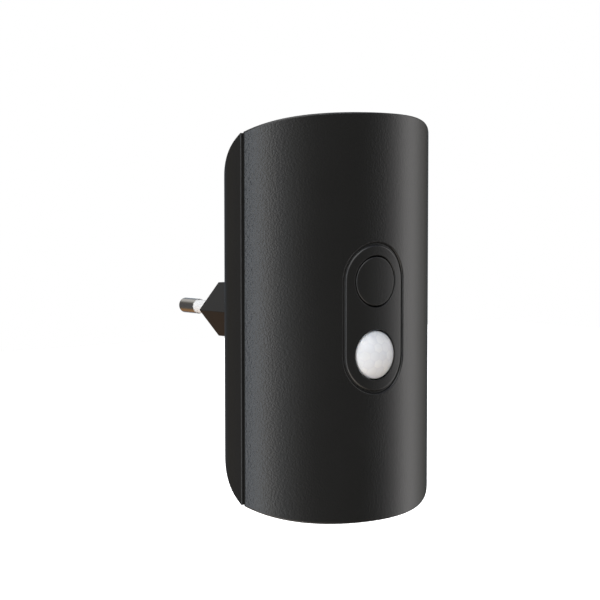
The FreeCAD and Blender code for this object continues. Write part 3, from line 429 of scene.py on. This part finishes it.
class WorldShader:
    """Light from all round, in three bands one over the other.

    Where the camera sees past the object, the world is plain white.
    """

    def __init__(self):
        world = bpy.data.worlds.new("studio")
        bpy.context.scene.world = world
        world.use_nodes = True
        self.tree = world.node_tree
        self.tree.nodes.clear()
        place = self.node("ShaderNodeTexCoord")
        split = self.node("ShaderNodeSeparateXYZ", [place.outputs["Generated"]])
        ahead = self.node("ShaderNodeMath", [split.outputs["Y"], -1.0], operation="MULTIPLY")
        turn = self.node("ShaderNodeMath", [split.outputs["X"], ahead.outputs[0]], operation="ARCTAN2")
        self.turn = self.node("ShaderNodeMapRange", [turn.outputs[0], -math.pi, math.pi]).outputs[0]
        light = self.band(LEVEL_LIGHT)
        for sign, stops in ((1, UPPER_LIGHT), (-1, LOWER_LIGHT)):
            share = self.node("ShaderNodeMapRange",
                              [split.outputs["Z"], sign * BAND_START, sign * BAND_END],
                              interpolation_type="SMOOTHSTEP")
            light = self.blend(share.outputs[0], light, self.band(stops))
        self.finish(light)

    def node(self, kind, values=(), **settings):
        made = self.tree.nodes.new(kind)
        for key, value in settings.items():
            setattr(made, key, value)
        for socket, value in zip(made.inputs, values):
            if isinstance(value, bpy.types.NodeSocket):
                self.tree.links.new(value, socket)
            else:
                socket.default_value = value
        return made

    def band(self, stops):
        """Colour ramp over the azimuth."""
        ramp = self.node("ShaderNodeValToRGB", [self.turn])
        elements = ramp.color_ramp.elements
        elements.remove(elements[1])
        elements[0].color = rgba(stops[0][1])
        for azimuth, colour in stops[1:]:
            elements.new(azimuth / 360 + 0.5).color = rgba(colour)
        return ramp.outputs["Color"]

    def blend(self, share, first, second):
        made = self.node("ShaderNodeMix", [share], data_type="RGBA")
        self.tree.links.new(first, made.inputs[6])
        self.tree.links.new(second, made.inputs[7])
        return made.outputs[2]

    def finish(self, light):
        """The light for all rays but the camera's own, which see plain white."""
        glow = self.node("ShaderNodeBackground", [light])
        plain = self.node("ShaderNodeBackground", [(1, 1, 1, 1)])
        seen = self.node("ShaderNodeLightPath").outputs["Is Camera Ray"]
        both = self.node("ShaderNodeMixShader", [seen, glow.outputs[0], plain.outputs[0]])
        self.node("ShaderNodeOutputWorld", [both.outputs[0]])


def studio_floor():
    """Plain pale floor some way below the object, which hangs in a wall socket."""
    height = cad_box[0][2] - FLOOR_DROP
    bpy.ops.mesh.primitive_plane_add(size=FLOOR_SIZE, location=(0, 0, height))
    floor = bpy.context.object
    floor.name = "floor"
    shader = Shader("floor_paint")
    tone = shader.noise(0.4, 2.0)
    shader.set(Base_Color=shader.mix(tone, (0.93, 0.93, 0.93, 1), (0.96, 0.96, 0.96, 1)), Roughness=0.9)
    shader.set(Emission_Color=(1, 1, 1, 1), Emission_Strength=FLOOR_GLOW)
    floor.data.materials.append(shader.material)
    floor.visible_glossy = False
    floor.visible_diffuse = False
    floor.visible_shadow = False


def studio_camera():
    """Camera at a slant to the front, a little above the middle."""
    data = bpy.data.cameras.new("camera")
    data.lens = CAMERA_LENS
    data.sensor_width = SENSOR_WIDTH
    data.clip_start = CLIP_START
    camera = bpy.data.objects.new("camera", data)
    bpy.context.scene.collection.objects.link(camera)
    bpy.context.scene.camera = camera
    azimuth, pitch = math.radians(CAMERA_AZIMUTH), math.radians(CAMERA_PITCH)
    forward = Vector((-math.sin(azimuth) * math.cos(pitch), math.cos(azimuth) * math.cos(pitch),
                      -math.sin(pitch)))
    right = Vector((math.cos(azimuth), math.sin(azimuth), 0))
    up = right.cross(forward)
    turn = Matrix.Rotation(math.radians(-CAMERA_ROLL), 3, forward)
    right, up = turn @ right, turn @ up
    front = Vector((0, cad_box[0][1] + LENS_PROUD, 0))
    place = front - forward * CAMERA_DISTANCE + right * CAMERA_RIGHT + up * CAMERA_UP
    axes = Matrix((right, up, -forward)).transposed().to_4x4()
    camera.matrix_world = Matrix.Translation(place) @ axes


# ----------------------------------------------------------------------- build

def dress(materials):
    """Each CAD node gets the material of its slot."""
    slots = {row["node"]: row["material_slot"] for row in frame["record"]["subparts"]}
    for name, node in frame["nodes"].items():
        material = materials[slots[name]]
        node.data.materials.clear()
        node.data.materials.append(material)


def build():
    materials = make_materials()
    dress(materials)
    lens_piece(materials["lens_plastic"])
    studio_camera()
    studio_floor()
    WorldShader()
    scene = bpy.context.scene
    scene.view_settings.view_transform = "Standard"
    scene.view_settings.look = "None"


build()
